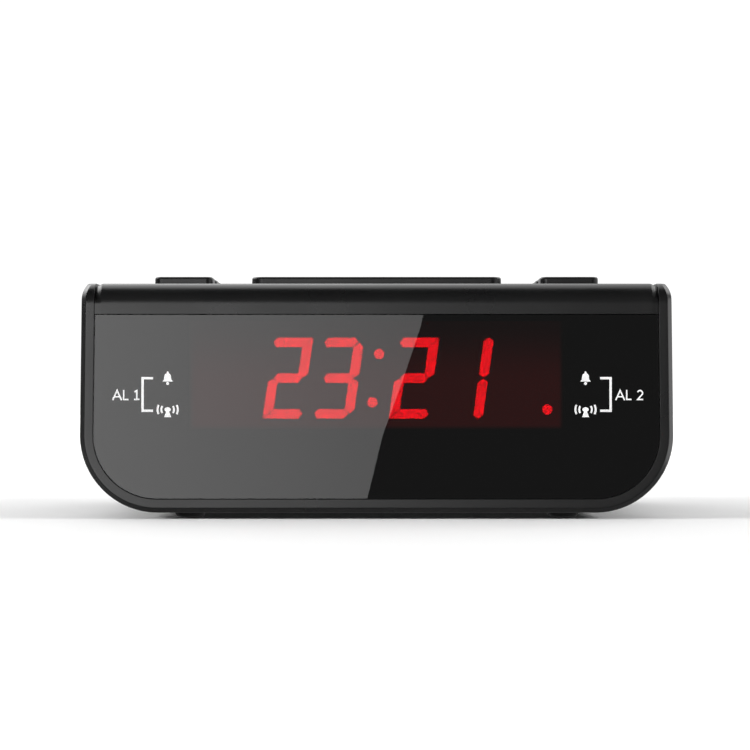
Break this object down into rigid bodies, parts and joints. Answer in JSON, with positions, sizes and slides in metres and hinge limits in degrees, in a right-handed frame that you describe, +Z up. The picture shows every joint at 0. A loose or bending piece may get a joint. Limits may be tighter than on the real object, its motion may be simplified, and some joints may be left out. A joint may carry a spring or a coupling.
{
  "type": "alarm clock",
  "caption": "Low wide clock radio: smoked front window over red digits, push keys and a loudspeaker grille on top, battery bay underneath.",
  "frame": {"origin": "middle of the footprint, on the surface that the feet stand on", "axes": "+X to the right seen from the front, +Y from the display to the back, +Z up"},
  "size_m": [0.168, 0.122, 0.0691],
  "materials": {
    "case_plastic": "satin black moulded plastic, very fine texture",
    "key_plastic": "satin black moulded plastic, smooth",
    "smoked_window": "high-gloss smoked acrylic",
    "print_white": "white printed legends on the window",
    "led_red": "red light-emitting segments and dots",
    "red_film": "dark red display filter",
    "reflector_plastic": "dark grey display moulding",
    "inner_plastic": "black inner moulding",
    "circuit_board": "green solder mask",
    "chip_plastic": "black epoxy and phenolic",
    "switch_white": "off-white switch plunger",
    "cable_grey": "grey cable insulation",
    "cone_paper": "black coated paper",
    "ferrite": "dark ferrite with steel plates",
    "heat_sink": "bare extruded aluminium",
    "plated_steel": "zinc-plated steel",
    "spring_steel": "nickel-plated spring steel",
    "cell_wrap": "blue wrapped dry cell, plain",
    "rubber": "black rubber"
  },
  "bodies": {
    "housing": {"lower_case": "case_plastic", "top_cover": "case_plastic", "rear_panel": "case_plastic", "front_lens": "smoked_window", "front_bezel": "inner_plastic", "display_filter": "red_film", "display_reflector": "reflector_plastic", "display_board": "circuit_board", "main_board": "circuit_board", "key_board": "circuit_board", "tuner_shield": "plated_steel", "clock_chip": "chip_plastic", "filter_capacitor": "chip_plastic", "voltage_regulator": "heat_sink", "ribbon_cable": "cable_grey", "speaker_lead": "cable_grey", "dc_jack": "chip_plastic", "aerial_grommet": "rubber", "battery_box": "inner_plastic", "speaker_frame": "plated_steel", "speaker_magnet": "ferrite", "switch_snooze": "chip_plastic", "switch_left_front": "chip_plastic", "switch_left_middle": "chip_plastic", "switch_left_rear": "chip_plastic", "switch_right_front": "chip_plastic", "switch_right_middle": "chip_plastic", "switch_right_rear": "chip_plastic", "battery_cell_front": "cell_wrap", "battery_spring_front": "spring_steel", "battery_cell_rear": "cell_wrap", "battery_spring_rear": "spring_steel", "battery_contact_left": "spring_steel", "battery_contact_right": "spring_steel", "foot_front_left": "rubber", "case_screw_front_left": "plated_steel", "foot_front_right": "rubber", "case_screw_front_right": "plated_steel", "foot_rear_left": "rubber", "case_screw_rear_left": "plated_steel", "foot_rear_right": "rubber", "case_screw_rear_right": "plated_steel"},
    "snooze_bar": {"key_snooze": "key_plastic", "plunger_snooze": "switch_white"},
    "button_left_front": {"key_left_front": "key_plastic", "plunger_left_front": "switch_white"},
    "button_left_middle": {"key_left_middle": "key_plastic", "plunger_left_middle": "switch_white"},
    "button_left_rear": {"key_left_rear": "key_plastic", "plunger_left_rear": "switch_white"},
    "button_right_front": {"key_right_front": "key_plastic", "plunger_right_front": "switch_white"},
    "button_right_middle": {"key_right_middle": "key_plastic", "plunger_right_middle": "switch_white"},
    "button_right_rear": {"key_right_rear": "key_plastic", "plunger_right_rear": "switch_white"},
    "battery_door": {"battery_door": "case_plastic"},
    "speaker_cone": {"speaker_cone": "cone_paper", "speaker_dust_cap": "cone_paper"}
  },
  "joints": [
    {"name": "snooze_bar_press", "type": "slide", "parent": "housing", "child": "snooze_bar", "axis": [0, 0, -1], "range_m": [0, 0.0005], "stiffness_N_per_m": 1500, "springref_m": -0.0003},
    {"name": "button_left_front_press", "type": "slide", "parent": "housing", "child": "button_left_front", "axis": [0, 0, -1], "range_m": [0, 0.0005], "stiffness_N_per_m": 1500, "springref_m": -0.0003},
    {"name": "button_left_middle_press", "type": "slide", "parent": "housing", "child": "button_left_middle", "axis": [0, 0, -1], "range_m": [0, 0.0005], "stiffness_N_per_m": 1500, "springref_m": -0.0003},
    {"name": "button_left_rear_press", "type": "slide", "parent": "housing", "child": "button_left_rear", "axis": [0, 0, -1], "range_m": [0, 0.0005], "stiffness_N_per_m": 1500, "springref_m": -0.0003},
    {"name": "button_right_front_press", "type": "slide", "parent": "housing", "child": "button_right_front", "axis": [0, 0, -1], "range_m": [0, 0.0005], "stiffness_N_per_m": 1500, "springref_m": -0.0003},
    {"name": "button_right_middle_press", "type": "slide", "parent": "housing", "child": "button_right_middle", "axis": [0, 0, -1], "range_m": [0, 0.0005], "stiffness_N_per_m": 1500, "springref_m": -0.0003},
    {"name": "button_right_rear_press", "type": "slide", "parent": "housing", "child": "button_right_rear", "axis": [0, 0, -1], "range_m": [0, 0.0005], "stiffness_N_per_m": 1500, "springref_m": -0.0003},
    {"name": "battery_door_hinge", "type": "hinge", "parent": "housing", "child": "battery_door", "pos_m": [0, 0.0119, 0.0017], "axis": [1, 0, 0], "range_deg": [-75, 0]},
    {"name": "speaker_cone_stroke", "type": "slide", "parent": "housing", "child": "speaker_cone", "axis": [0, 0, 1], "range_m": [-0.0004, 0.0004], "stiffness_N_per_m": 1000}
  ]
}
